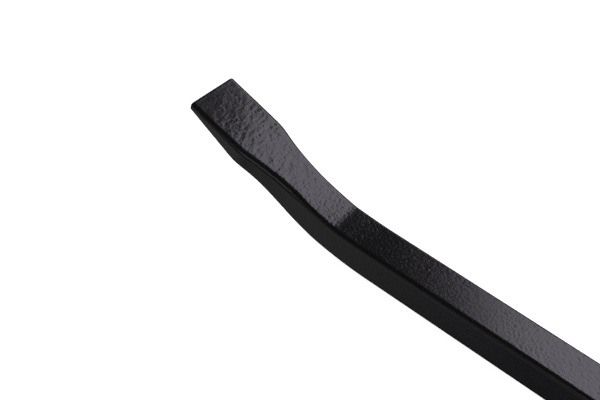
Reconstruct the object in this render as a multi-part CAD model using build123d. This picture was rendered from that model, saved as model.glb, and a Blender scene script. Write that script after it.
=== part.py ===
from build123d import *
import math
import os

# A half-inch drive breaker bar whose handle end is forged into a bent, flared pry tip.
# Frame: +X runs along the bar towards the drive square, +Z is up, and the pry tip bends up at -X.
# The origin is the middle of the bar's footprint: the fork's flat underside is at z = 0.
# All sizes are in millimetres.

# --- driving dimensions ---------------------------------------------------------------------
TOTAL_LENGTH = 457.0        # 18 in over everything, tip to drive square
BAR_SIDE = 16.0             # 5/8 in square bar
BAR_EDGE = 1.2              # rolled corner radius of the bar
FORK_HEIGHT = 25.0          # fork thickness along the pivot
DRIVE_SIDE = 12.7           # half-inch drive square

# forged pry tip, with stations measured along the top face from where the bend starts
BEND_ANGLE = 19.3           # degrees between shaft and blade
BEND_RADIUS = 125.0         # radius of the top face in the bend
TIP_STATION = 96.0          # end of the blade
BLADE_WIDTH = 23.4
FLARE_START = 33.0          # each side flares out on an arc between these two stations
FLARE_END = 67.0
FLARE_ROUNDING = 14.0       # radius that softens the corner where the flare meets the blade
THIN_START = 25.0           # the blade is drawn down between these two stations
THIN_END = 62.0
TAPER_START = 69.0          # from here the blade tapers straight to its edge
BLADE_THICKNESS = 9.3
TIP_THICKNESS = 3.8

# drive end, with distances along X from the pivot
DRIVE_REACH = 36.0          # end of the drive square
EAR_RADIUS = 13.0           # half the fork's width
SLOT_DEPTH = 14.5           # slot bottom, behind the pivot
SLOT_GAP = 12.8             # between the two ears
SOCKET_FLOOR = 32.5         # bottom of the square socket that holds the bar
FORK_REAR = 66.5            # rear end of the fork
FORK_ROUNDING = 2.2         # forged edges of the fork
PIN_PLACES = (42.0, 57.0)   # the two spring pins
PIN_DIAMETER = 5.0
PIVOT_DIAMETER = 9.5        # shoulder of the pivot screw
TONGUE_RADIUS = 12.2
TONGUE_THICKNESS = 12.0
NECK_WIDTH = 19.0
SHOULDER_START = 14.2       # thick collar between the tongue and the square
SHOULDER_END = 20.0
SHOULDER_WIDTH = 22.0
SHOULDER_HEIGHT = 24.0
SCREW_HEAD = 13.4           # diameter of the pivot screw's head
COUNTERBORE_DEPTH = 3.2
THREAD_DIAMETER = 8.0       # M8 end of the pivot screw, in the lower ear
HEX_KEY = 6.0               # across flats
WASHER_DIAMETER = 19.0
WASHER_THICKNESS = 0.34

# the ball that holds the head at an angle: it runs in a groove and drops into dimples
DETENT_BALL = 6.0
DETENT_CENTRE = 14.45       # ball centre behind the pivot while it runs in the groove
DETENT_DROP = 0.35          # how much deeper the dimples are
DETENT_ANGLES = (-90, -45, 0, 45, 90)
DETENT_HOLE_DEPTH = 15.0

# the ball that holds a socket on the drive square
DRIVE_BALL = 4.76
DRIVE_BALL_PLACE = 28.5     # along X from the pivot
DRIVE_BALL_SUNK = 1.08      # ball centre below the flat of the square
DRIVE_HOLE_FLOOR = 7.4      # hole bottom below the flat

# small clearances
RUNNING = 0.05              # radial, pivot screw in the tongue
SLIDING = 0.04              # bar in its socket, pins in their holes

# --- derived places --------------------------------------------------------------------------
AXIS_Z = FORK_HEIGHT / 2
PIVOT_X = TOTAL_LENGTH / 2 - DRIVE_REACH
BAR_TOP = AXIS_Z + BAR_SIDE / 2
BAR_BOTTOM = AXIS_Z - BAR_SIDE / 2
BEND = math.radians(BEND_ANGLE)
ARC_LENGTH = BEND_RADIUS * BEND
BLADE_RUN = TIP_STATION - ARC_LENGTH
EDGE_LOSS = BAR_EDGE * (math.cos(BEND) + math.sin(BEND) - 1)    # what rounding takes off the tip
TIP_REACH = (BEND_RADIUS + TIP_THICKNESS) * math.sin(BEND) + BLADE_RUN * math.cos(BEND) - EDGE_LOSS
BEND_X = TIP_REACH - TOTAL_LENGTH / 2
SLOT_BOTTOM = AXIS_Z - SLOT_GAP / 2
SLOT_TOP = AXIS_Z + SLOT_GAP / 2


def smooth_step(value):
    """0 below 0, 1 above 1, and a smooth S between."""
    value = min(max(value, 0.0), 1.0)
    return value * value * (3 - 2 * value)


def top_point(station):
    """Point of the bar's top line at a station, and the angle that the bar has turned there."""
    angle = min(max(station / BEND_RADIUS, 0.0), BEND)
    straight = max(station - ARC_LENGTH, 0.0)
    x = BEND_X - BEND_RADIUS * math.sin(angle) - straight * math.cos(BEND)
    z = BAR_TOP + BEND_RADIUS * (1 - math.cos(angle)) + straight * math.sin(BEND)
    return x, z, angle


def thickness(station):
    """Thickness of the bar at a station: full, then drawn down, then tapered to the edge."""
    drawn = smooth_step((station - THIN_START) / (THIN_END - THIN_START))
    tapered = max(station - TAPER_START, 0.0) / (TIP_STATION - TAPER_START)
    return BAR_SIDE - (BAR_SIDE - BLADE_THICKNESS) * drawn - (BLADE_THICKNESS - TIP_THICKNESS) * tapered


def underside_point(station):
    """Point of the bar's bottom line, square below the top line."""
    x, z, angle = top_point(station)
    depth = thickness(station)
    return x - depth * math.sin(angle), z - depth * math.cos(angle)


def side_point(pair):
    """A point of the side view, on the bar's middle plane."""
    return Vector(pair[0], 0, pair[1])


def cylinder(radius, low, high, x=PIVOT_X, y=0.0):
    """Upright cylinder from z = low to z = high."""
    return Pos(x, y, (low + high) / 2) * Cylinder(radius, high - low)


def block(x_range, y_range, z_range):
    """Box between two planes in each direction."""
    middle = [sum(pair) / 2 for pair in (x_range, y_range, z_range)]
    size = [pair[1] - pair[0] for pair in (x_range, y_range, z_range)]
    return Pos(*middle) * Box(*size)


def x_cylinder(radius, start, end, y=0.0, z=AXIS_Z):
    """Cylinder along X from x = start to x = end."""
    return Pos((start + end) / 2, y, z) * Rot(0, 90, 0) * Cylinder(radius, end - start)


def y_cylinder(radius, half_length, x, z=AXIS_Z):
    """Cylinder along Y, centred on the bar."""
    return Pos(x, 0, z) * Rot(90, 0, 0) * Cylinder(radius, 2 * half_length)


def chamfered_rod(radius, length):
    """Cylinder about Z with both ends chamfered."""
    body = Cylinder(radius, length)
    return chamfer(body.edges().filter_by(GeomType.CIRCLE), 0.4)


def coil_spring(outer_diameter, wire, length, turns):
    """Compression spring standing on z = 0 along +Z, with plain ends."""
    mean_radius = (outer_diameter - wire) / 2
    rise = length - wire
    path = Pos(0, 0, wire / 2) * Helix(rise / turns, rise, mean_radius)
    section = Plane(path @ 0, z_dir=path % 0) * Circle(wire / 2)
    return sweep(section, path, is_frenet=True)


# --- the forged bar ----------------------------------------------------------------------------
def make_pry_bar():
    """Square bar: its side profile, cut to the plan outline that flares along the blade."""
    bar_end = PIVOT_X - SOCKET_FLOOR - SLIDING
    arc_middle = top_point(ARC_LENGTH / 2)
    arc_end = top_point(ARC_LENGTH)
    tip = top_point(TIP_STATION)
    top_line = Line((bar_end, 0, BAR_TOP), (BEND_X, 0, BAR_TOP))
    top_arc = ThreePointArc(top_line @ 1, side_point(arc_middle), side_point(arc_end))
    blade_line = Line(top_arc @ 1, side_point(tip))
    edge_line = Line(blade_line @ 1, side_point(underside_point(TIP_STATION)))
    taper_line = Line(edge_line @ 1, side_point(underside_point(TAPER_START + 4)))
    drawn_length = THIN_END - THIN_START
    drawn_stations = [THIN_END - drawn_length * part for part in (0.0, 0.25, 0.5, 0.75)]
    drawn_points = [taper_line @ 1] + [side_point(underside_point(s)) for s in drawn_stations]
    drawn_end = side_point(underside_point(THIN_START))
    turned = THIN_START / BEND_RADIUS
    drawn_line = Spline(
        *drawn_points,
        drawn_end,
        tangents=(taper_line % 1, Vector(math.cos(turned), 0, -math.sin(turned))),
    )
    lower_middle = side_point(underside_point(THIN_START / 2))
    lower_arc = ThreePointArc(drawn_end, lower_middle, (BEND_X, 0, BAR_BOTTOM))
    bottom_line = Line(lower_arc @ 1, (bar_end, 0, BAR_BOTTOM))
    end_line = Line(bottom_line @ 1, top_line @ 0)
    upper_edges = [top_line, top_arc, blade_line, edge_line]
    lower_edges = [taper_line, drawn_line, lower_arc, bottom_line, end_line]
    profile = make_face(upper_edges + lower_edges)
    slab = extrude(profile, BLADE_WIDTH, dir=(0, 1, 0), both=True)

    # plan outline of the blade, in the plane of its top face, with +X back towards the shaft
    flare_plane = Plane(
        origin=side_point(arc_end),
        x_dir=(math.cos(BEND), 0, -math.sin(BEND)),
        z_dir=(math.sin(BEND), 0, math.cos(BEND)),
    )
    half_bar = BAR_SIDE / 2
    half_blade = BLADE_WIDTH / 2
    root_x = ARC_LENGTH - FLARE_START
    corner_x = ARC_LENGTH - FLARE_END
    beyond_tip = ARC_LENGTH - TIP_STATION - 5
    near_flare = TangentArc((root_x, -half_bar), (corner_x, -half_blade), tangent=(-1, 0))
    blade_end = Polyline(
        (corner_x, -half_blade),
        (beyond_tip, -half_blade),
        (beyond_tip, half_blade),
        (corner_x, half_blade),
    )
    far_flare = TangentArc((root_x, half_bar), (corner_x, half_blade), tangent=(-1, 0))
    root = Line((root_x, half_bar), (root_x, -half_bar))
    blade_plan = make_face([near_flare, *blade_end.edges(), far_flare, root])
    corners = blade_plan.vertices().filter_by(lambda vertex: abs(vertex.X - corner_x) < 0.1)
    blade_plan = fillet(corners, FLARE_ROUNDING)
    blade = extrude(flare_plane * blade_plan, 40, both=True)
    flare_x = top_point(FLARE_START)[0]
    shaft = block((flare_x - 15, bar_end), (-half_bar, half_bar), (-40, 80))
    root_plane = Plane(origin=side_point(top_point(FLARE_START)), z_dir=flare_plane.x_dir)
    shaft = split(shaft, bisect_by=root_plane, keep=Keep.TOP)
    bar = slab & (blade + shaft)

    outer_edges = bar.edges().filter_by(lambda edge: edge.center().X < bar_end - 1)
    bar = fillet(outer_edges.filter_by(lambda edge: edge.length > TIP_THICKNESS + 0.2), BAR_EDGE)
    for place in PIN_PLACES:
        bar -= y_cylinder(PIN_DIAMETER / 2 + SLIDING, BAR_SIDE, PIVOT_X - place)
    return bar


# --- the forged fork that is pinned on the bar -------------------------------------------------
def make_fork_head():
    """Steel yoke: square socket at the back, two ears with a slot between them at the front."""
    rear = PIVOT_X - FORK_REAR
    ear_start = PIVOT_X - 8.0
    rear_half_width = 11.8
    neck_in = 2.0
    neck_run = 10.0
    far_rear = (rear, rear_half_width)
    near_rear = (rear, -rear_half_width)
    near_side = Polyline(far_rear, near_rear, (ear_start, -EAR_RADIUS), (PIVOT_X, -EAR_RADIUS))
    nose = ThreePointArc((PIVOT_X, -EAR_RADIUS), (PIVOT_X + EAR_RADIUS, 0), (PIVOT_X, EAR_RADIUS))
    far_side = Polyline((PIVOT_X, EAR_RADIUS), (ear_start, EAR_RADIUS), far_rear)
    plan = make_face([*near_side.edges(), nose, *far_side.edges()])
    body = extrude(plan, FORK_HEIGHT)
    front = PIVOT_X + 2 * EAR_RADIUS
    elevation = Polyline(
        (rear, 0, neck_in),
        (rear + neck_run, 0, 0),
        (front, 0, 0),
        (front, 0, FORK_HEIGHT),
        (rear + neck_run, 0, FORK_HEIGHT),
        (rear, 0, FORK_HEIGHT - neck_in),
        close=True,
    )
    body = body & extrude(make_face(elevation.edges()), 2 * EAR_RADIUS, dir=(0, 1, 0), both=True)
    body = fillet(body.edges(), FORK_ROUNDING)

    slot_floor = PIVOT_X - SLOT_DEPTH
    body -= block((slot_floor, front), (-20, 20), (SLOT_BOTTOM, SLOT_TOP))
    half_socket = BAR_SIDE / 2 + SLIDING
    socket_z = (AXIS_Z - half_socket, AXIS_Z + half_socket)
    body -= block((rear - 5, PIVOT_X - SOCKET_FLOOR), (-half_socket, half_socket), socket_z)
    for place in PIN_PLACES:
        body -= y_cylinder(PIN_DIAMETER / 2 + SLIDING, 2 * EAR_RADIUS, PIVOT_X - place)
    body -= cylinder(PIVOT_DIAMETER / 2 + RUNNING, SLOT_TOP, FORK_HEIGHT)
    body -= cylinder(SCREW_HEAD / 2 + 0.3, FORK_HEIGHT - COUNTERBORE_DEPTH, FORK_HEIGHT + 1)
    body -= cylinder(THREAD_DIAMETER / 2 + SLIDING, -1, SLOT_BOTTOM + 1)
    body -= x_cylinder(DETENT_BALL / 2 + RUNNING, slot_floor - DETENT_HOLE_DEPTH, slot_floor + 1)
    return body


def make_spring_pin(place):
    """Slotted spring pin across the fork and the bar: rolled from strip, with chamfered ends."""
    length = 23.6
    wall = 1.0
    gap = 0.9
    outer = chamfered_rod(PIN_DIAMETER / 2, length)
    bore = Cylinder(PIN_DIAMETER / 2 - wall, length)
    gap_cut = Pos(PIN_DIAMETER / 2, 0, 0) * Box(PIN_DIAMETER, gap, length)
    pin = outer - bore - gap_cut
    return Pos(PIVOT_X - place, 0, AXIS_Z) * Rot(90, 0, 0) * pin


# --- the swivelling drive head ---------------------------------------------------------------
def make_drive_head():
    """Forging with a round tongue in the fork, a thick shoulder and the half-inch square."""
    tongue_low = AXIS_Z - TONGUE_THICKNESS / 2
    tongue_high = AXIS_Z + TONGUE_THICKNESS / 2
    half_neck = NECK_WIDTH / 2
    tongue = cylinder(TONGUE_RADIUS, tongue_low, tongue_high)
    neck_x = (PIVOT_X, PIVOT_X + SHOULDER_START + 1)
    tongue += block(neck_x, (-half_neck, half_neck), (tongue_low, tongue_high))
    flats = tongue.faces().sort_by(Axis.Z)
    tongue = chamfer(flats[0].edges() + flats[-1].edges(), 0.6)

    shoulder_x = (PIVOT_X + SHOULDER_START, PIVOT_X + SHOULDER_END)
    half_width = SHOULDER_WIDTH / 2
    shoulder_z = (AXIS_Z - SHOULDER_HEIGHT / 2, AXIS_Z + SHOULDER_HEIGHT / 2)
    shoulder = block(shoulder_x, (-half_width, half_width), shoulder_z)
    shoulder = fillet(shoulder.edges().filter_by(Axis.X), 5.0)
    shoulder = chamfer(shoulder.faces().sort_by(Axis.X)[-1].edges(), 1.8)
    shoulder = chamfer(shoulder.faces().sort_by(Axis.X)[0].edges(), 0.5)

    half_drive = DRIVE_SIDE / 2
    square_x = (PIVOT_X + SHOULDER_END - 2, PIVOT_X + DRIVE_REACH)
    square_z = (AXIS_Z - half_drive, AXIS_Z + half_drive)
    square = block(square_x, (-half_drive, half_drive), square_z)
    square = fillet(square.edges().filter_by(Axis.X), 1.3)
    square = chamfer(square.faces().sort_by(Axis.X)[-1].edges(), 1.1)
    head = tongue + shoulder + square

    head -= cylinder(PIVOT_DIAMETER / 2 + RUNNING, tongue_low - 1, tongue_high + 1)
    ball_space = DETENT_BALL / 2 + RUNNING
    groove = Pos(PIVOT_X, 0, AXIS_Z) * Torus(DETENT_CENTRE, ball_space)
    behind = block((PIVOT_X - 25, PIVOT_X + ball_space), (-25, 25), (0, FORK_HEIGHT))
    head -= groove & behind
    dimple_distance = DETENT_CENTRE - DETENT_DROP
    for angle in DETENT_ANGLES:
        turn = math.radians(180 + angle)
        dimple_x = PIVOT_X + dimple_distance * math.cos(turn)
        dimple_y = dimple_distance * math.sin(turn)
        head -= Pos(dimple_x, dimple_y, AXIS_Z) * Sphere(ball_space)

    # hole for the drive ball, with a staked lip at its mouth that keeps the ball in
    flat = AXIS_Z + half_drive
    ball_x = PIVOT_X + DRIVE_BALL_PLACE
    lip_depth = 0.15
    lip_overlap = 0.14
    head -= cylinder(DRIVE_BALL / 2 + RUNNING, flat - DRIVE_HOLE_FLOOR, flat - lip_depth, x=ball_x)
    head -= cylinder(DRIVE_BALL / 2 - lip_overlap, flat - 1, flat + 1, x=ball_x)
    return head


def make_pivot_screw():
    """Shoulder screw: socket head sunk in the upper ear, thread in the lower ear."""
    head_low = FORK_HEIGHT - COUNTERBORE_DEPTH + SLIDING
    head_high = FORK_HEIGHT - 0.3
    key_depth = 2.6
    head = cylinder(SCREW_HEAD / 2, head_low, head_high)
    head = chamfer(head.faces().sort_by(Axis.Z)[-1].edges(), 0.5)
    thread = cylinder(THREAD_DIAMETER / 2, 0.5, SLOT_BOTTOM + 1)
    thread = chamfer(thread.faces().sort_by(Axis.Z)[0].edges(), 0.8)
    screw = head + thread + cylinder(PIVOT_DIAMETER / 2, SLOT_BOTTOM + 0.02, head_low + 0.5)
    key_hole = extrude(RegularPolygon(HEX_KEY / 2, 6, major_radius=False), key_depth + 1)
    return screw - Pos(PIVOT_X, 0, head_high - key_depth) * key_hole


def make_thrust_washer():
    """Flat hardened ring between the tongue and the upper ear."""
    high = SLOT_TOP - 0.03
    ring = cylinder(WASHER_DIAMETER / 2, high - WASHER_THICKNESS, high)
    return ring - cylinder(PIVOT_DIAMETER / 2 + 0.1, high - 1, high + 1)


def make_spring_washer():
    """Dished ring between the tongue and the lower ear: it takes up the play in the fork."""
    low = SLOT_BOTTOM + 0.02
    dish = 0.12
    sheet = WASHER_THICKNESS - dish
    inner = PIVOT_DIAMETER / 2 + 0.1
    outer = WASHER_DIAMETER / 2
    section = Polyline(
        (inner, 0, low + dish),
        (outer, 0, low),
        (outer, 0, low + sheet),
        (inner, 0, low + dish + sheet),
        close=True,
    )
    return Pos(PIVOT_X, 0, 0) * revolve(make_face(section.edges()), Axis.Z)


# --- balls and springs -------------------------------------------------------------------------
def make_detent_ball():
    return Pos(PIVOT_X - DETENT_CENTRE, 0, AXIS_Z) * Sphere(DETENT_BALL / 2)


def make_detent_spring():
    """Spring behind the detent ball, from the hole's floor to the back of the ball."""
    outer_diameter = 5.4
    wire = 0.7
    seat_radius = outer_diameter / 2 - wire
    behind_centre = math.sqrt((DETENT_BALL / 2) ** 2 - seat_radius ** 2)
    start = PIVOT_X - SLOT_DEPTH - DETENT_HOLE_DEPTH + SLIDING
    end = PIVOT_X - DETENT_CENTRE - behind_centre - SLIDING
    spring = coil_spring(outer_diameter, wire, end - start, turns=7)
    return Pos(start, 0, AXIS_Z) * Rot(0, 90, 0) * spring


def make_drive_ball():
    flat = AXIS_Z + DRIVE_SIDE / 2
    return Pos(PIVOT_X + DRIVE_BALL_PLACE, 0, flat - DRIVE_BALL_SUNK) * Sphere(DRIVE_BALL / 2)


def make_drive_spring():
    """Spring under the drive ball, from the hole's floor to the underside of the ball."""
    outer_diameter = 4.2
    wire = 0.5
    seat_radius = outer_diameter / 2 - wire
    below_centre = math.sqrt((DRIVE_BALL / 2) ** 2 - seat_radius ** 2)
    flat = AXIS_Z + DRIVE_SIDE / 2
    start = flat - DRIVE_HOLE_FLOOR + SLIDING
    end = flat - DRIVE_BALL_SUNK - below_centre - SLIDING
    spring = coil_spring(outer_diameter, wire, end - start, turns=4)
    return Pos(PIVOT_X + DRIVE_BALL_PLACE, 0, start) * spring


# --- the assembly ------------------------------------------------------------------------------
parts = {
    "pry_bar": make_pry_bar(),
    "fork_head": make_fork_head(),
    "drive_head": make_drive_head(),
    "pivot_screw": make_pivot_screw(),
    "thrust_washer": make_thrust_washer(),
    "spring_washer": make_spring_washer(),
    "detent_ball": make_detent_ball(),
    "detent_spring": make_detent_spring(),
    "drive_ball": make_drive_ball(),
    "drive_spring": make_drive_spring(),
}
for name, place in zip(("front_spring_pin", "rear_spring_pin"), PIN_PLACES):
    parts[name] = make_spring_pin(place)

os.makedirs("parts", exist_ok=True)
for node, shape in parts.items():
    export_step(shape, f"parts/{node}.step")
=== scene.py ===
"""Half-inch drive breaker bar, 457 mm long, with a pry tip forged on the end of its handle.

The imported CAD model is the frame. X runs along the bar towards the drive square, Z is up, and the
pry tip is at the -X end. Shapes are worked out in millimetres and put into meshes in metres.
"""

import itertools
import math

import bpy
import numpy as np
from mathutils import Matrix, Vector


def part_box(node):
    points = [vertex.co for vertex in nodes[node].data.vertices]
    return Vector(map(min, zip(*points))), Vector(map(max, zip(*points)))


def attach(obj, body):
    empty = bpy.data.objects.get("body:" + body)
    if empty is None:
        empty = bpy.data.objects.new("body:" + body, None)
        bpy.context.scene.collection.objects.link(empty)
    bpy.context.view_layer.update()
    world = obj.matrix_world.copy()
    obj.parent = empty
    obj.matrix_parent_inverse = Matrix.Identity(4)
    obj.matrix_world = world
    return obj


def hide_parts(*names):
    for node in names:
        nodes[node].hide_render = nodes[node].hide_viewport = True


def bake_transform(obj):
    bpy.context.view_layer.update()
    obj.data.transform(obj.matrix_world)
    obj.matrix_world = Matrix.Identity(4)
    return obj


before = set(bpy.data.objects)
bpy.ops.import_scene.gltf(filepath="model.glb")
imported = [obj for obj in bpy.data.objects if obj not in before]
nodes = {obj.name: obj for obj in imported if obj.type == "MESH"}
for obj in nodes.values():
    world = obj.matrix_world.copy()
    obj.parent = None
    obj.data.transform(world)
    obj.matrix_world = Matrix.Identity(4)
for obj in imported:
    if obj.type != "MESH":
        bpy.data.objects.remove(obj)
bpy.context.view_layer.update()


# ---------------------------------------------------------------------------------------------
# Pry bar. A 16 mm square bar of carbon steel, rolled and then hot forged at one end: bent up,
# spread sideways and thinned to a blade. Blasting off the scale leaves ripples and pits on the
# forged end and an orange-peel skin on the rolled shaft. The bar is then enamelled black.

# sizes in millimetres; stations run along the top face from the start of the bend
BAR_SIDE = 16.0
BAR_TOP = 20.5
BEND_X = -135.394           # where the bend starts
BEND_RADIUS = 125.0
BEND_ANGLE = math.radians(19.3)
BLADE_SPREAD = 3.7          # what the forging adds to each side of the bar
TOP_FLARE = (36.0, 29.4, 2.0)  # start, length and power of the spread at the top face
LOW_FLARE = (30.0, 38.4, 1.4)  # and at the underside
BLADE_THICKNESS = 9.3
DRAWN_FROM, DRAWN_TO = 25.0, 62.0  # the bar thins to the blade between these
TAPER_STATION = 69.0        # the blade thins from here to its edge
TIP_THICKNESS = 3.8
TIP_STATION = 96.9
FORK_MOUTH_STATION = -260.5
REAR_STATION = -295.354
CORNER_RADIUS = 1.2
NEAR_ROUNDING = 0.4         # the near top corner is rounder than the others by this much,
NECK_ROUNDING = 0.8         # and by this much more in the neck
BLADE_ROUNDING = 0.4        # what the forging adds to the far top corner's radius
NECK_STARTS, NECK_ENDS = (24, 42), (60, 86)
BLADE_STARTS = (42, 62)
END_RADIUS = 0.8
PIN_HOLE_RADIUS = 2.54

# the bar was bent over a die edge, so its top face turns unevenly and has a crease where it lay
FACE_STATIONS = (0, 10, 16, 19.6, 22, 36.6, 45, 58, 65, 72, 80, 90, 97)
FACE_ANGLES = (0, 3.2, 3.8, 12.4, 12.8, 18.9, 19.7, 20.1, 19.8, 18.8, 18.1, 18.0, 18.8)
CREASE_SLANT = 0.14         # how far askew the crease runs, in mm per mm of width
FACE_DEPTH = (-4.0, -0.3)   # below the top face, the unevenness fades out between these

# how strongly the skin shows along the bar: blasting and enamel are both uneven
GRAIN_STATIONS = (-118, -75, -60, -50, -42, -30, -10, 10, 17, 27, 40, 53, 71, 80, 88, 97)
GRAIN_STRENGTHS = (
    2.1, 1.4, 0.75, 0.45, 0.6, 1.2, 1.8, 2.0, 1.4, 2.1, 2.5, 1.4, 1.25, 1.05, 0.65, 0.5
)
FORGED = (32.0, 58.0)       # the forged skin comes in between these
BARE = (FORK_MOUTH_STATION + 0.5, FORK_MOUTH_STATION + 8)  # and near the fork the skin is smooth

# the mesh has its finest rings from the tip to FINE_STATION, and a few in each end rounding
FINE_STATION = -118.0
FINE_RINGS = 545
SHAFT_RINGS = 100
SOCKET_RINGS = 10
END_RINGS = 5
TOP_POINTS, SIDE_POINTS, LOW_POINTS, TURN_POINTS = 66, 17, 24, 5


def smooth(value, low, high):
    """Rises from 0 at low to 1 at high as 3t^2 - 2t^3, and is level outside them."""
    t = np.clip((value - low) / (high - low), 0, 1)
    return t * t * (3 - 2 * t)


def flare(station, start, length, power):
    """Share of the blade's spread: t to a power, then level at 1, with the corner between them
    rounded by a parabola that is tangent to both."""
    t = np.clip((station - start) / length, 0, None)
    rounding = 0.12
    slope = power * (1 - rounding) ** (power - 1)
    past = np.clip(t - (1 - rounding), 0, 2 * rounding)
    rise = np.minimum(t, 1 - rounding) ** power + slope * (past - past**2 / (4 * rounding))
    return rise / ((1 - rounding) ** power + slope * rounding)


def noise(points, size, seed):
    """Smooth noise from -1 to 1 with features of the given size: random numbers stand on a cubic
    lattice, and each point mixes the eight round it with weights 6t^5 - 15t^4 + 10t^3."""
    lattice = np.random.default_rng(seed).uniform(-1, 1, (64, 64, 64))
    cell = np.floor(points / size).astype(int)
    t = points / size - cell
    weight = t**3 * (t * (6 * t - 15) + 10)
    total = np.zeros(points.shape[:-1])
    for corner in itertools.product((0, 1), repeat=3):
        x, y, z = np.moveaxis((cell + corner) % 64, -1, 0)
        share = np.prod(np.where(np.array(corner) == 1, weight, 1 - weight), axis=-1)
        total += share * lattice[x, y, z]
    return total


def pits(points, spacing, radius, seed):
    """Depth from 0 to 1 of round pits. One pit centre stands at random in each cell of a cubic
    lattice, with a random radius r up to the given one; the depth at a distance d from it is
    (1 - d^2 / r^2)^2, and the deepest pit at a point counts."""
    rng = np.random.default_rng(seed)
    centre = rng.uniform(0, 1, (64, 64, 64, 3))
    reach = radius * rng.uniform(0.3, 1, (64, 64, 64))
    cell = np.floor(points / spacing).astype(int)
    depth = np.zeros(points.shape[:-1])
    for offset in itertools.product((-1, 0, 1), repeat=3):
        near = cell + offset
        x, y, z = np.moveaxis(near % 64, -1, 0)
        gap = points - (near + centre[x, y, z]) * spacing
        fall = 1 - np.sum(gap**2, axis=-1) / reach[x, y, z] ** 2
        depth = np.maximum(depth, np.clip(fall, 0, 1) ** 2)
    return depth


def face_offset(station):
    """How far the creased top face stands off the even bend: the running sum of the tangent of
    the difference between its angle and the even bend's, softened over 31 steps of 0.05 mm."""
    fine = np.linspace(-10, 100, 2201)
    angle = np.radians(np.interp(fine, FACE_STATIONS, FACE_ANGLES))
    even = np.clip(fine / BEND_RADIUS, 0, BEND_ANGLE)
    rise = np.convolve(np.tan(angle - even), np.ones(31) / 31, mode="same")
    return np.interp(station, fine, np.cumsum(rise) * (fine[1] - fine[0]))


def ring_weights(top_count, side_count, low_count, turn_count):
    """The way round the bar's section, from the far top corner over the top, the near side, the
    underside and the far side. For each point: the share of each of the four corner centres in
    its place, and its outward direction. A flat runs between two centres, and a rounded corner
    turns a quarter circle round one."""
    shares, directions = [], []
    for side, count in enumerate((top_count, side_count, low_count, side_count)):
        t = np.linspace(0, 1, count)
        share = np.zeros((count + turn_count, 4))
        share[:count, side] = 1 - t
        share[:count, (side + 1) % 4] = t
        share[count:, (side + 1) % 4] = 1
        turn = np.linspace(0, 1, turn_count + 2)[1:-1]
        angle = math.pi / 2 * (side + 1 + np.concatenate([np.zeros(count), turn]))
        shares.append(share)
        directions.append(np.stack([np.cos(angle), np.sin(angle)], axis=-1))
    return np.concatenate(shares), np.concatenate(directions)


def bar_surface(station, end_scale, weights):
    """Points of the bar and their outward directions, one ring for each station. The section is a
    box with rounded corners: four corner centres, each one radius inside the box, plus the radius
    outwards. Over the bar's two ends the radius shrinks along a quarter circle, which rounds their
    edges, and end_scale then shrinks the flat end to its middle. Points near the top face are
    raised by face_offset, and the section stands square to the even bend's arc."""
    shares, directions = weights
    in_neck = smooth(station, *NECK_STARTS) * (1 - smooth(station, *NECK_ENDS))
    radius = np.full((len(station), 4), CORNER_RADIUS)
    radius[:, 1] += NEAR_ROUNDING + NECK_ROUNDING * in_neck
    radius[:, 0] += BLADE_ROUNDING * smooth(station, *BLADE_STARTS)
    top_half = BAR_SIDE / 2 + BLADE_SPREAD * flare(station, *TOP_FLARE)
    low_half = BAR_SIDE / 2 + BLADE_SPREAD * flare(station, *LOW_FLARE)
    thick = BAR_SIDE - (BAR_SIDE - BLADE_THICKNESS) * smooth(station, DRAWN_FROM, DRAWN_TO)
    taper = np.clip((station - TAPER_STATION) / (TIP_STATION - TAPER_STATION), 0, 1)
    thick -= (BLADE_THICKNESS - TIP_THICKNESS) * taper
    middle = -thick[:, None] / 2
    sideways = np.stack([top_half, -top_half, -low_half, low_half], axis=-1)
    sideways = (sideways - radius * (1, -1, -1, 1)) * end_scale[:, None]
    upward = np.stack([0 * thick, 0 * thick, -thick, -thick], axis=-1) - radius * (1, 1, -1, -1)
    upward = middle + (upward - middle) * end_scale[:, None]

    left = np.clip(np.minimum(TIP_STATION - station, station - REAR_STATION), 0, END_RADIUS)
    lost = END_RADIUS - np.sqrt(END_RADIUS**2 - (END_RADIUS - left) ** 2)
    radius = radius @ shares.T - lost[:, None]
    y = sideways @ shares.T + radius * directions[:, 0]
    up = upward @ shares.T + radius * directions[:, 1]
    on_face = smooth(up, *FACE_DEPTH)
    up += on_face * face_offset(station[:, None] - CREASE_SLANT * y)

    angle = np.clip(station / BEND_RADIUS, 0, BEND_ANGLE)[:, None]
    straight = (station[:, None] - BEND_RADIUS * angle) * np.cos(angle)
    climb = (station[:, None] - BEND_RADIUS * angle) * np.sin(angle)
    x = BEND_X - BEND_RADIUS * np.sin(angle) - straight + up * np.sin(angle)
    z = BAR_TOP + BEND_RADIUS * (1 - np.cos(angle)) + climb + up * np.cos(angle)
    facing_y, facing_up = directions[:, 0], directions[:, 1]
    outward = [facing_up * np.sin(angle), facing_y + 0 * angle, facing_up * np.cos(angle)]
    return np.stack([x, y, z], axis=-1), np.stack(outward, axis=-1)


def closed_skin(name, rings):
    """Mesh object from rings of points in millimetres. Neighbouring rings are joined by quads, and
    the first and last ring are closed by triangles to their middle."""
    count, around = rings.shape[:2]
    ends = np.stack([rings[0].mean(axis=0), rings[-1].mean(axis=0)])
    points = np.concatenate([rings.reshape(-1, 3), ends]) / 1000
    here = np.arange(count * around).reshape(count, around)
    after = np.roll(here, -1, axis=1)
    quads = np.stack([here[:-1], here[1:], after[1:], after[:-1]], axis=-1).reshape(-1, 4)
    first = np.stack([here[0], after[0], np.full(around, count * around)], axis=-1)
    last = np.stack([after[-1], here[-1], np.full(around, count * around + 1)], axis=-1)
    mesh = bpy.data.meshes.new(name)
    mesh.from_pydata(points, [], quads.tolist() + first.tolist() + last.tolist())
    mesh.shade_smooth()
    piece = bpy.data.objects.new(name, mesh)
    bpy.context.scene.collection.objects.link(piece)
    return piece


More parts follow.
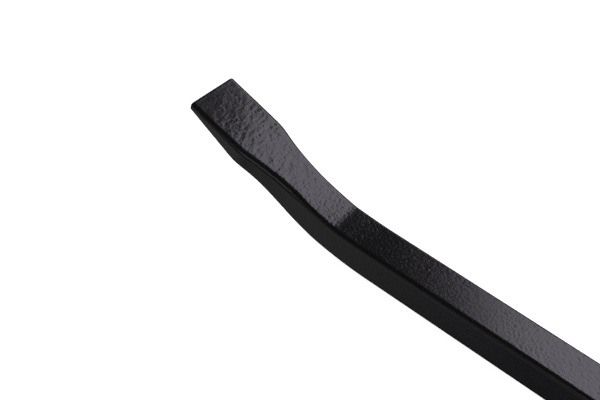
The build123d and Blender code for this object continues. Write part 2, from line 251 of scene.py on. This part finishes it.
def linear(hex_colour):
    """Linear colour of an sRGB hex value such as '#1c1b1d'."""
    share = np.array([int(hex_colour[i : i + 2], 16) / 255 for i in (1, 3, 5)])
    light = np.where(share <= 0.04045, share / 12.92, ((share + 0.055) / 1.055) ** 2.4)
    return (*light.tolist(), 1.0)


def add(tree, kind, inputs, **settings):
    """Adds one shader node with its settings. An input that is another node's output is linked, and
    any other input is set."""
    made = tree.nodes.new("ShaderNode" + kind)
    for name, value in settings.items():
        setattr(made, name, value)
    for name, value in inputs.items():
        if isinstance(value, bpy.types.NodeSocket):
            tree.links.new(value, made.inputs[name])
        else:
            made.inputs[name].default_value = value
    return made


def new_material(name):
    """An empty node material: its tree, its output node and the Object coordinates to draw on."""
    material = bpy.data.materials.new(name)
    material.use_nodes = True
    tree = material.node_tree
    tree.nodes.clear()
    output = add(tree, "OutputMaterial", {})
    return material, tree, output, add(tree, "TexCoord", {}).outputs["Object"]


# stoved enamel, sprayed thin: nearly black and semi-gloss, it shows the skin of the steel beneath;
# the finest part of that skin, about 1.2 mm from bump to bump, is in the material
enamel, tree, output, place = new_material("black_stoving_enamel")
cloud = add(tree, "TexNoise", {"Vector": place, "Scale": 1 / 0.014, "Detail": 3.0})
grit = add(tree, "TexNoise", {"Vector": place, "Scale": 1 / 0.0012, "Detail": 1.0})
tone = add(tree, "ValToRGB", {"Fac": cloud.outputs["Fac"]})
tone.color_ramp.elements[0].color = linear("#111012")
tone.color_ramp.elements[1].color = linear("#19181b")
gloss = add(tree, "MapRange", {"Value": cloud.outputs["Fac"], "To Min": 0.18, "To Max": 0.24})
strength = add(tree, "Attribute", {}, attribute_name="grain").outputs["Fac"]
peel = add(tree, "Bump", {"Height": grit.outputs["Fac"], "Strength": strength, "Distance": 0.00005})
shader = add(
    tree,
    "BsdfPrincipled",
    {
        "Base Color": tone.outputs["Color"],
        "Roughness": gloss.outputs["Result"],
        "IOR": 1.5,
        "Normal": peel.outputs["Normal"],
    },
)
tree.links.new(shader.outputs["BSDF"], output.inputs["Surface"])

rounding = END_RADIUS * (1 - np.cos(np.linspace(0, math.pi / 2, END_RINGS + 1)))[:-1]
stations = np.concatenate(
    [
        np.full(END_RINGS, REAR_STATION),
        REAR_STATION + rounding,
        np.linspace(REAR_STATION + END_RADIUS, FORK_MOUTH_STATION, SOCKET_RINGS),
        np.linspace(FORK_MOUTH_STATION, FINE_STATION, SHAFT_RINGS)[1:],
        np.linspace(FINE_STATION, TIP_STATION - END_RADIUS, FINE_RINGS)[1:],
        TIP_STATION - rounding[::-1],
        np.full(END_RINGS, TIP_STATION),
    ]
)
shrink = np.linspace(0.15, 0.9, END_RINGS)
end_scale = np.concatenate([shrink, np.ones(len(stations) - 2 * END_RINGS), shrink[::-1]])
weights = ring_weights(TOP_POINTS, SIDE_POINTS, LOW_POINTS, TURN_POINTS)
surface, outward = bar_surface(stations, end_scale, weights)

# the skin is strong on the top face and the underside, faint on the sides, and stops at the fork
forged = smooth(stations, *FORGED)[:, None]
shown = smooth(stations, *BARE)[:, None]
blasted = smooth(np.abs(outward[..., 0]) + np.abs(outward[..., 2]), 0.35, 0.95)
coarseness = np.interp(stations, GRAIN_STATIONS, GRAIN_STRENGTHS)[:, None]
grain = (0.05 + 0.95 * blasted) * shown * coarseness

# its height, in mm: dents, two sizes of ripple drawn out across the bar, and two sizes of pit
relief = 0.045 * noise(surface, 7.0, 1) * (0.15 + forged)
relief += 0.018 * noise(surface * (1, 0.5, 1), 1.3, 2) * (0.25 + forged)
relief += 0.018 * noise(surface * (1, 0.5, 1), 0.95, 3) * (0.35 + forged)
relief -= 0.035 * pits(surface, 1.5, 0.75, 4) * forged
relief -= 0.090 * pits(surface, 4.0, 0.9, 5) * forged
pry_bar = closed_skin("pry_bar_forged", surface + outward * (relief * grain)[..., None])
skin = pry_bar.data.attributes.new("grain", "FLOAT", "POINT")
skin.data.foreach_set("value", np.append(grain.ravel(), [0.0, 1.0]).astype(np.float32))
pry_bar.data.materials.append(enamel)

# two holes drilled across the bar take the spring pins: a cylinder longer than the bar is wide is
# cut from the bar's skin for each
across = np.linspace(-12, 12, 3)[:, None]
about = np.linspace(0, 2 * math.pi, 48, endpoint=False)
drills = []
for pin in ("front_spring_pin", "rear_spring_pin"):
    low, high = (np.array(corner) * 1000 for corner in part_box(pin))
    x = (low[0] + high[0]) / 2 + PIN_HOLE_RADIUS * np.cos(about)
    z = (low[2] + high[2]) / 2 + PIN_HOLE_RADIUS * np.sin(about)
    drill = closed_skin("drill", np.stack(np.broadcast_arrays(x, across, z), axis=-1))
    cut = pry_bar.modifiers.new("hole", "BOOLEAN")
    cut.operation, cut.solver, cut.object = "DIFFERENCE", "EXACT", drill
    drills.append(drill)
depsgraph = bpy.context.evaluated_depsgraph_get()
drilled = bpy.data.meshes.new_from_object(pry_bar.evaluated_get(depsgraph))
pry_bar.modifiers.clear()
pry_bar.data = drilled
for drill in drills:
    bpy.data.objects.remove(drill)
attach(pry_bar, "handle")
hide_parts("pry_bar")


# ---------------------------------------------------------------------------------------------
# Fork head. A drop-forged yoke of chrome-molybdenum steel, pressed over the end of the bar. It is
# shot-blasted and blacked with phosphate, and bare steel just shows where its edges rub.


def dress(node, material):
    """Gives a CAD node the material in its first slot."""
    nodes[node].data.materials[0] = material


def edge_mask(tree, radius, reach):
    """0 on flats, rising to 1 on edges: how far the normal, rounded over a radius in metres, turns
    away from the true one, divided by reach."""
    rounded = add(tree, "Bevel", {"Radius": radius}, samples=6).outputs["Normal"]
    true_normal = add(tree, "NewGeometry", {}).outputs["Normal"]
    match = add(tree, "VectorMath", {0: rounded, 1: true_normal}, operation="DOT_PRODUCT")
    return add(
        tree,
        "MapRange",
        {"Value": match.outputs["Value"], "From Min": 1.0, "From Max": 1.0 - reach},
    ).outputs["Result"]


# phosphate is matt and dark grey, clouded by the oil it holds, over the forging's fine roughness
phosphate, tree, output, place = new_material("phosphated_forging")
cloud = add(tree, "TexNoise", {"Vector": place, "Scale": 1 / 0.006, "Detail": 4.0}).outputs["Fac"]
grit = add(tree, "TexNoise", {"Vector": place, "Scale": 1 / 0.0007, "Detail": 2.0}).outputs["Fac"]
marks = add(tree, "TexNoise", {"Vector": place, "Scale": 1 / 0.0022, "Detail": 1.0}).outputs["Fac"]
tone = add(tree, "ValToRGB", {"Fac": cloud})
tone.color_ramp.elements[0].position = 0.35
tone.color_ramp.elements[0].color = linear("#29292b")
tone.color_ramp.elements[1].position = 0.7
tone.color_ramp.elements[1].color = linear("#424145")
worn = edge_mask(tree, 0.0022, 0.03)
broken = add(tree, "Math", {0: worn, 1: cloud}, operation="MULTIPLY").outputs[0]
rubbed = add(tree, "MapRange", {"Value": broken, "From Min": 0.36, "From Max": 0.62})
colour = add(
    tree,
    "Mix",
    {
        "Factor": rubbed.outputs["Result"],
        "A": tone.outputs["Color"],
        "B": linear("#77777b"),
    },
    data_type="RGBA",
)
gloss = add(tree, "MapRange", {"Value": cloud, "To Min": 0.36, "To Max": 0.52}).outputs["Result"]
height = add(tree, "Math", {0: marks, 1: grit}, operation="ADD").outputs[0]
relief = add(tree, "Bump", {"Height": height, "Strength": 0.8, "Distance": 0.00011})
shader = add(
    tree,
    "BsdfPrincipled",
    {
        "Base Color": colour.outputs["Result"],
        "Metallic": 0.45,
        "Roughness": gloss,
        "Normal": relief.outputs["Normal"],
    },
)
tree.links.new(shader.outputs["BSDF"], output.inputs["Surface"])
dress("fork_head", phosphate)


# ---------------------------------------------------------------------------------------------
# Spring pins. Rolled from spring-steel strip into slotted tubes, hardened, and driven across the
# fork and the bar, which they hold together.

# hardening leaves the strip blue-grey, with the rolling lines round the pin still faintly there
strip, tree, output, place = new_material("hardened_spring_strip")
grain = add(
    tree,
    "TexNoise",
    {
        "Vector": add(tree, "Mapping", {"Vector": place, "Scale": (1, 0.08, 1)}).outputs["Vector"],
        "Scale": 1 / 0.00035,
        "Detail": 2.0,
    },
).outputs["Fac"]
tone = add(tree, "ValToRGB", {"Fac": grain})
tone.color_ramp.elements[0].color = linear("#55565c")
tone.color_ramp.elements[1].color = linear("#85868c")
gloss = add(tree, "MapRange", {"Value": grain, "To Min": 0.26, "To Max": 0.42}).outputs["Result"]
shader = add(
    tree,
    "BsdfPrincipled",
    {"Base Color": tone.outputs["Color"], "Metallic": 1.0, "Roughness": gloss},
)
tree.links.new(shader.outputs["BSDF"], output.inputs["Surface"])
dress("front_spring_pin", strip)
dress("rear_spring_pin", strip)


# ---------------------------------------------------------------------------------------------
# Drive head. Forged and milled chrome-vanadium steel, polished along its length and plated with
# nickel and chrome.

# chrome is bright and slightly blue, and the grinding lines under it spread its highlights
chrome, tree, output, place = new_material("ground_and_chromed_steel")
lines = add(
    tree,
    "TexNoise",
    {
        "Vector": add(tree, "Mapping", {"Vector": place, "Scale": (0.04, 1, 1)}).outputs["Vector"],
        "Scale": 1 / 0.0003,
        "Detail": 3.0,
    },
).outputs["Fac"]
cloud = add(tree, "TexNoise", {"Vector": place, "Scale": 1 / 0.005, "Detail": 2.0}).outputs["Fac"]
tone = add(tree, "ValToRGB", {"Fac": cloud})
tone.color_ramp.elements[0].color = linear("#b6b7bb")
tone.color_ramp.elements[1].color = linear("#d3d4d7")
gloss = add(tree, "MapRange", {"Value": lines, "To Min": 0.12, "To Max": 0.26}).outputs["Result"]
relief = add(tree, "Bump", {"Height": lines, "Strength": 0.5, "Distance": 0.000008})
shader = add(
    tree,
    "BsdfPrincipled",
    {
        "Base Color": tone.outputs["Color"],
        "Metallic": 1.0,
        "Roughness": gloss,
        "Normal": relief.outputs["Normal"],
    },
)
tree.links.new(shader.outputs["BSDF"], output.inputs["Surface"])
dress("drive_head", chrome)


# ---------------------------------------------------------------------------------------------
# Pivot screw. A shoulder screw turned from alloy steel, with a hexagon socket, blacked by hot
# oxide. Turning leaves rings round its axis on the head.

PIVOT = Vector((0.1925, 0.0, 0.0125))  # the middle of the tongue, on the screw's axis

# hot oxide is a thin blue-black film, so the turned rings still catch the light through it
oxide, tree, output, place = new_material("hot_blacked_turned_steel")
centred = add(tree, "Mapping", {"Vector": place, "Location": -PIVOT}).outputs["Vector"]
rings = add(
    tree,
    "TexWave",
    {"Vector": centred, "Scale": 1 / 0.0022, "Distortion": 0.6, "Detail": 2.0, "Detail Scale": 2.0},
    wave_type="RINGS",
    rings_direction="Z",
).outputs["Fac"]
tone = add(tree, "ValToRGB", {"Fac": rings})
tone.color_ramp.elements[0].color = linear("#222226")
tone.color_ramp.elements[1].color = linear("#33333a")
gloss = add(tree, "MapRange", {"Value": rings, "To Min": 0.24, "To Max": 0.36}).outputs["Result"]
relief = add(tree, "Bump", {"Height": rings, "Strength": 0.4, "Distance": 0.00001})
shader = add(
    tree,
    "BsdfPrincipled",
    {
        "Base Color": tone.outputs["Color"],
        "Metallic": 0.8,
        "Roughness": gloss,
        "Normal": relief.outputs["Normal"],
    },
)
tree.links.new(shader.outputs["BSDF"], output.inputs["Surface"])
dress("pivot_screw", oxide)


# ---------------------------------------------------------------------------------------------
# Washers. Two rings punched from hardened strip and ground flat, above and below the tongue. The
# lower one is dished and takes up the play as a spring.

# ground steel is mid grey and satin, with straight scratches
ground, tree, output, place = new_material("ground_washer_steel")
centred = add(tree, "Mapping", {"Vector": place, "Location": -PIVOT}).outputs["Vector"]
scratches = add(
    tree,
    "TexNoise",
    {
        "Vector": add(tree, "Mapping", {"Vector": centred, "Scale": (1, 0.1, 1)}).outputs["Vector"],
        "Scale": 1 / 0.0004,
        "Detail": 2.0,
    },
).outputs["Fac"]
tone = add(tree, "ValToRGB", {"Fac": scratches})
tone.color_ramp.elements[0].color = linear("#8b8c8f")
tone.color_ramp.elements[1].color = linear("#b4b5b8")
gloss = add(tree, "MapRange", {"Value": scratches, "To Min": 0.22, "To Max": 0.38})
shader = add(
    tree,
    "BsdfPrincipled",
    {"Base Color": tone.outputs["Color"], "Metallic": 1.0, "Roughness": gloss.outputs["Result"]},
)
tree.links.new(shader.outputs["BSDF"], output.inputs["Surface"])
dress("thrust_washer", ground)
dress("spring_washer", ground)


# ---------------------------------------------------------------------------------------------
# Balls. Lapped bearing steel. One holds the head at five angles and one holds a socket on the
# square; each stands in a drilled hole on a spring.

# a lapped ball is almost a mirror, with a faint haze of oil
lapped, tree, output, place = new_material("lapped_bearing_steel")
haze = add(tree, "TexNoise", {"Vector": place, "Scale": 1 / 0.0012, "Detail": 2.0}).outputs["Fac"]
tone = add(tree, "ValToRGB", {"Fac": haze})
tone.color_ramp.elements[0].color = linear("#bdbfc3")
tone.color_ramp.elements[1].color = linear("#d6d7da")
gloss = add(tree, "MapRange", {"Value": haze, "To Min": 0.05, "To Max": 0.13}).outputs["Result"]
shader = add(
    tree,
    "BsdfPrincipled",
    {"Base Color": tone.outputs["Color"], "Metallic": 1.0, "Roughness": gloss},
)
tree.links.new(shader.outputs["BSDF"], output.inputs["Surface"])
dress("detent_ball", lapped)
dress("drive_ball", lapped)


# ---------------------------------------------------------------------------------------------
# Springs. Coiled from drawn music wire with closed ends, one behind each ball. Each stands on the
# floor of its hole.

# drawn wire is a dull grey with fine drawing lines
wire, tree, output, place = new_material("drawn_music_wire")
lines = add(tree, "TexNoise", {"Vector": place, "Scale": 1 / 0.0002, "Detail": 2.0}).outputs["Fac"]
tone = add(tree, "ValToRGB", {"Fac": lines})
tone.color_ramp.elements[0].color = linear("#77797d")
tone.color_ramp.elements[1].color = linear("#9c9da1")
gloss = add(tree, "MapRange", {"Value": lines, "To Min": 0.25, "To Max": 0.4}).outputs["Result"]
shader = add(
    tree,
    "BsdfPrincipled",
    {"Base Color": tone.outputs["Color"], "Metallic": 1.0, "Roughness": gloss},
)
tree.links.new(shader.outputs["BSDF"], output.inputs["Surface"])


def coil(name, foot, head, outer_diameter, wire_diameter, turns):
    """Compression spring wound round the line from foot to head, in millimetres. The wire's centre
    goes round at half of (outer - wire) diameter while it climbs; the first and the last turn climb
    one wire each, so the ends are closed."""
    foot, head = np.array(foot), np.array(head)
    axis = (head - foot) / np.linalg.norm(head - foot)
    side = np.array((0.0, 1.0, 0.0))
    turn = np.linspace(0, turns, 40 * turns + 1)
    angle = 2 * math.pi * turn[:, None]
    radial = np.cos(angle) * side + np.sin(angle) * np.cross(axis, side)
    rise = np.linalg.norm(head - foot) - wire_diameter
    closed = 1.04 * wire_diameter
    climb = np.interp(turn, (0, 1, turns - 1, turns), (0, closed, rise - closed, rise))
    centre = foot + (outer_diameter - wire_diameter) / 2 * radial
    centre += (climb[:, None] + wire_diameter / 2) * axis
    tangent = np.gradient(centre, axis=0)
    tangent /= np.linalg.norm(tangent, axis=1)[:, None]
    about = np.linspace(0, 2 * math.pi, 14, endpoint=False)[:, None]
    section = np.cos(about) * radial[:, None] + np.sin(about) * np.cross(radial, tangent)[:, None]
    return closed_skin(name, centre[:, None] + wire_diameter / 2 * section)


# each coil runs from one end of the CAD spring it replaces to the other
low, high = (np.array(corner) * 1000 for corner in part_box("detent_spring"))
middle_z = PIVOT.z * 1000
foot, head = (low[0], 0.0, middle_z), (high[0], 0.0, middle_z)
detent_coil = coil(
    "detent_spring_coiled", foot, head, outer_diameter=5.4, wire_diameter=0.7, turns=7
)
detent_coil.data.materials.append(wire)
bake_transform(detent_coil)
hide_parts("detent_spring")

low, high = (np.array(corner) * 1000 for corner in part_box("drive_spring"))
middle_x = (low[0] + high[0]) / 2
foot, head = (middle_x, 0.0, low[2]), (middle_x, 0.0, high[2])
drive_coil = coil(
    "drive_spring_coiled", foot, head, outer_diameter=4.2, wire_diameter=0.5, turns=4
)
drive_coil.data.materials.append(wire)
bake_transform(drive_coil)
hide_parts("drive_spring")


# ---------------------------------------------------------------------------------------------
# Floor. A pale paper sweep, lit enough to run out to white. Reflections don't show it, because the
# dark room round the bar is what the enamel mirrors.

floor_mesh = bpy.data.meshes.new("floor")
floor_mesh.from_pydata([(-6, -6, 0), (6, -6, 0), (6, 6, 0), (-6, 6, 0)], [], [(0, 1, 2, 3)])
floor = bpy.data.objects.new("floor", floor_mesh)
bpy.context.scene.collection.objects.link(floor)
floor.visible_glossy = False
paper, tree, output, _ = new_material("white_paper_sweep")
matte = add(tree, "BsdfDiffuse", {"Color": linear("#f4f4f4")})
glow = add(tree, "Emission", {"Color": linear("#ffffff"), "Strength": 0.95})
both = add(tree, "AddShader", {0: matte.outputs[0], 1: glow.outputs[0]})
tree.links.new(both.outputs[0], output.inputs["Surface"])
floor_mesh.materials.append(paper)


# ---------------------------------------------------------------------------------------------
# Studio light. One large softbox stands behind the bar and is rolled, so that its edge lies across
# the bar's top face. Four weaker ones light the front, the drive end and the far left, and the
# dark room glows a little at the horizon and below it.


def softbox(name, centre, target, roll, size, radiance, colour):
    """Rectangular light at a point, facing a target, turned about its own axis. Its power is pi
    times its area times the radiance wanted."""
    light = bpy.data.lights.new("softbox_" + name, "AREA")
    light.shape = "RECTANGLE"
    light.size, light.size_y = size
    light.energy = math.pi * size[0] * size[1] * radiance
    light.color = linear(colour)[:3]
    lamp = bpy.data.objects.new("softbox_" + name, light)
    facing = (Vector(target) - Vector(centre)).to_track_quat("-Z", "Y").to_matrix()
    turned = (facing @ Matrix.Rotation(roll, 3, "Z")).to_4x4()
    lamp.matrix_world = Matrix.Translation(centre) @ turned
    lamp.visible_camera = False
    bpy.context.scene.collection.objects.link(lamp)


BAR_MIDDLE = (0, 0, 0.02)
DRIVE_END = (0.1, 0, 0.02)
PRY_END = (-0.13, 0, 0.02)
EDGE_ROLL = math.radians(54.3)
WHITE = "#ffffff"
softbox("behind", (-0.081, 0.36, 0.498), PRY_END, EDGE_ROLL, (0.384, 0.541), 2.95, "#f7efff")
softbox("front", (0.1, -1.5, 0.29), BAR_MIDDLE, 0.0, (1.3, 0.5), 0.7, WHITE)
softbox("end", (1.5, 0.1, 0.45), DRIVE_END, 0.0, (0.7, 0.6), 1.6, WHITE)
softbox("near_end", (1.09, -1.09, 0.5), BAR_MIDDLE, 0.0, (0.7, 0.5), 0.9, WHITE)
softbox("far_left", (-1.05, 1.05, 0.61), BAR_MIDDLE, 0.0, (0.8, 0.4), 1.1, WHITE)

# a white card lies under the drive end, for the chrome to reflect
card_mesh = bpy.data.meshes.new("bounce_card")
card_corners = [(0.14, -0.4, 0.001), (0.7, -0.4, 0.001), (0.7, 0.4, 0.001), (0.14, 0.4, 0.001)]
card_mesh.from_pydata(card_corners, [], [(0, 1, 2, 3)])
card = bpy.data.objects.new("bounce_card", card_mesh)
bpy.context.scene.collection.objects.link(card)
card.visible_camera = False
card.visible_diffuse = False
card.visible_shadow = False
pale, tree, output, _ = new_material("pale_bounce_card")
glow = add(tree, "Emission", {"Color": linear("#ffffff"), "Strength": 0.7})
tree.links.new(glow.outputs[0], output.inputs["Surface"])
card_mesh.materials.append(pale)

world = bpy.data.worlds.new("studio")
bpy.context.scene.world = world
world.use_nodes = True
tree = world.node_tree
tree.nodes.clear()
direction = add(tree, "TexCoord", {}).outputs["Generated"]
height = add(tree, "SeparateXYZ", {"Vector": direction}).outputs["Z"]
level = add(tree, "MapRange", {"Value": height, "From Min": -1.0}).outputs["Result"]
glow = add(tree, "ValToRGB", {"Fac": level})

# brightness by height, from 0 straight down to 1 straight up; 0.5 is the horizon
stops = glow.color_ramp.elements
stops[0].position, stops[0].color = 0.10, (0.0, 0.0, 0.0, 1)
stops[1].position, stops[1].color = 0.85, (0.05, 0.05, 0.05, 1)
for position, value in (
    (0.124, 0.07),
    (0.14, 0.145),
    (0.19, 0.25),
    (0.30, 0.03),
    (0.44, 0.03),
    (0.48, 0.4),
    (0.52, 0.4),
    (0.56, 0.03),
    (0.8, 0.03),
):
    stops.new(position).color = (value, value, value, 1)
room = add(tree, "Background", {"Color": glow.outputs["Color"], "Strength": 1.0})
backdrop = add(tree, "Background", {"Color": linear("#ffffff"), "Strength": 1.3})
seen = add(tree, "LightPath", {}).outputs["Is Camera Ray"]
pick = add(tree, "MixShader", {0: seen, 1: room.outputs[0], 2: backdrop.outputs[0]})
add(tree, "OutputWorld", {"Surface": pick.outputs[0]})


# ---------------------------------------------------------------------------------------------
# Camera. A 78 mm lens half a metre from the pry end, looking down across the bar.

AIM = Vector((-0.17423, -0.00431, 0.0205))
DISTANCE = 0.52209
AZIMUTH, ELEVATION, ROLL = (math.radians(a) for a in (48.077, 43.474, -4.233))

back = Vector(
    (
        math.sin(AZIMUTH) * math.cos(ELEVATION),
        -math.cos(AZIMUTH) * math.cos(ELEVATION),
        math.sin(ELEVATION),
    )
)
level = Vector((0, 0, 1)).cross(back).normalized()
upright = back.cross(level)
right = level * math.cos(ROLL) + upright * math.sin(ROLL)
camera = bpy.data.objects.new("camera", bpy.data.cameras.new("camera"))
camera.data.lens = 78.0
camera.data.sensor_width = 36.0
camera.data.clip_start = 0.01
turned = Matrix((right, back.cross(right), back)).transposed().to_4x4()
camera.matrix_world = Matrix.Translation(AIM + back * DISTANCE) @ turned
bpy.context.scene.collection.objects.link(camera)
bpy.context.scene.camera = camera
bpy.context.scene.view_settings.view_transform = "Standard"
